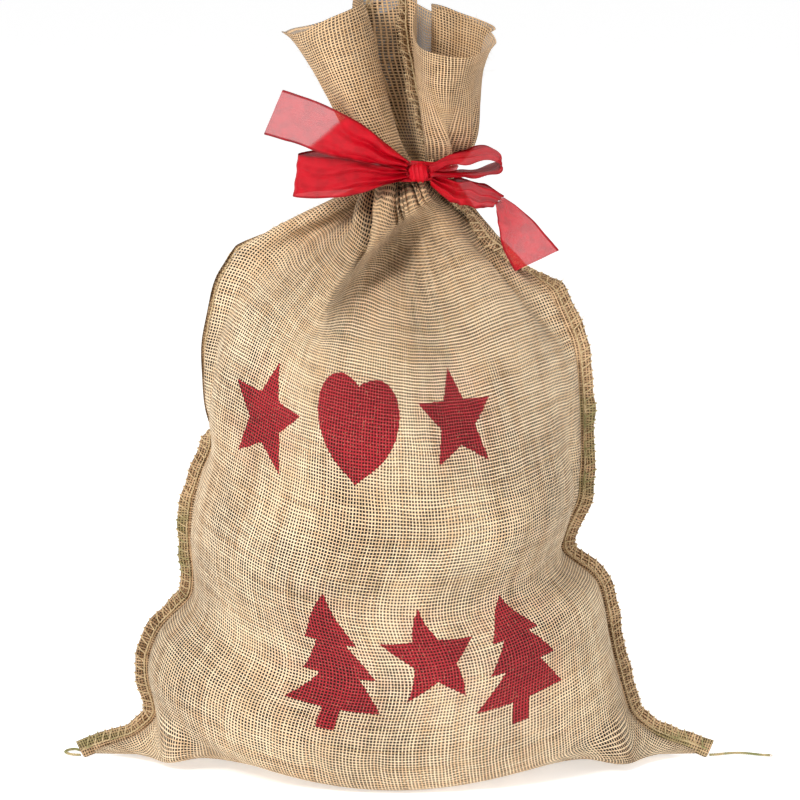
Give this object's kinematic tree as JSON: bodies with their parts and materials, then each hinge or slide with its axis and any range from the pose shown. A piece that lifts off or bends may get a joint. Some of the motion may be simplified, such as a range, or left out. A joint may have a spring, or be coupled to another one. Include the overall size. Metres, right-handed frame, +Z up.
{
  "type": "fabric gift sack",
  "caption": "Stuffed hessian gift sack with overlocked side seams and a printed front, its mouth gathered into a ruffle and tied with a sheer ribbon bow.",
  "frame": {"origin": "on the floor under the middle of the sack, half way between its two bottom corners", "axes": "+X towards the sack's right-hand corner as seen from the front, +Y to the back, +Z up; the printed front faces -Y"},
  "size_m": [0.5643, 0.276, 0.6211],
  "materials": {
    "hessian": "open plain weave of tan jute yarn, matt and hairy",
    "seam_thread": "overlocked hessian edge wrapped in twisted jute thread",
    "organza": "sheer crimson organza with a soft sheen and a dense selvedge"
  },
  "bodies": {
    "sack": {"sack_cloth": "hessian", "left_side_seam": "seam_thread", "right_side_seam": "seam_thread", "neck_band": "organza", "bow_knot": "organza", "left_corner_thread_tail": "seam_thread", "right_corner_thread_tail": "seam_thread"},
    "neck": {"neck_gather": "hessian"},
    "ruffle": {"mouth_ruffle": "hessian", "right_seam_above_tie": "seam_thread", "left_seam_above_tie": "seam_thread", "mouth_thread_tail": "seam_thread"},
    "left_loop": {"left_loop": "organza"},
    "right_loop": {"right_loop": "organza"},
    "left_tail": {"left_tail": "organza"},
    "right_tail": {"right_tail_upper": "organza"},
    "right_tail_tip": {"right_tail_lower": "organza"}
  },
  "joints": [
    {"name": "ruffle_nod", "type": "hinge", "parent": "sack", "child": "neck", "pos_m": [0.018, 0, 0.475], "axis": [1, 0, 0], "range_deg": [-10, 10], "stiffness_Nm_per_rad": 1.2},
    {"name": "ruffle_lean", "type": "hinge", "parent": "neck", "child": "ruffle", "pos_m": [0.018, 0, 0.475], "axis": [0, 1, 0], "range_deg": [-12, 12], "stiffness_Nm_per_rad": 1.2},
    {"name": "left_loop_swing", "type": "hinge", "parent": "sack", "child": "left_loop", "pos_m": [0.018, -0.037, 0.475], "axis": [0, 0, 1], "range_deg": [-4, 35], "stiffness_Nm_per_rad": 0.01},
    {"name": "right_loop_swing", "type": "hinge", "parent": "sack", "child": "right_loop", "pos_m": [0.018, -0.037, 0.475], "axis": [0, 0, -1], "range_deg": [-4, 35], "stiffness_Nm_per_rad": 0.01},
    {"name": "left_tail_flap", "type": "hinge", "parent": "sack", "child": "left_tail", "pos_m": [0.018, -0.037, 0.475], "axis": [0.38, 0, 0.925], "range_deg": [0, 40], "stiffness_Nm_per_rad": 0.01},
    {"name": "right_tail_swing", "type": "hinge", "parent": "sack", "child": "right_tail", "pos_m": [0.018, -0.037, 0.475], "axis": [0, 0, -1], "range_deg": [0, 35], "stiffness_Nm_per_rad": 0.01},
    {"name": "right_tail_tip_flap", "type": "hinge", "parent": "right_tail", "child": "right_tail_tip", "pos_m": [0.079, -0.048, 0.4555], "axis": [-0.8601, 0, -0.5101], "range_deg": [-3, 50], "stiffness_Nm_per_rad": 0.01}
  ]
}
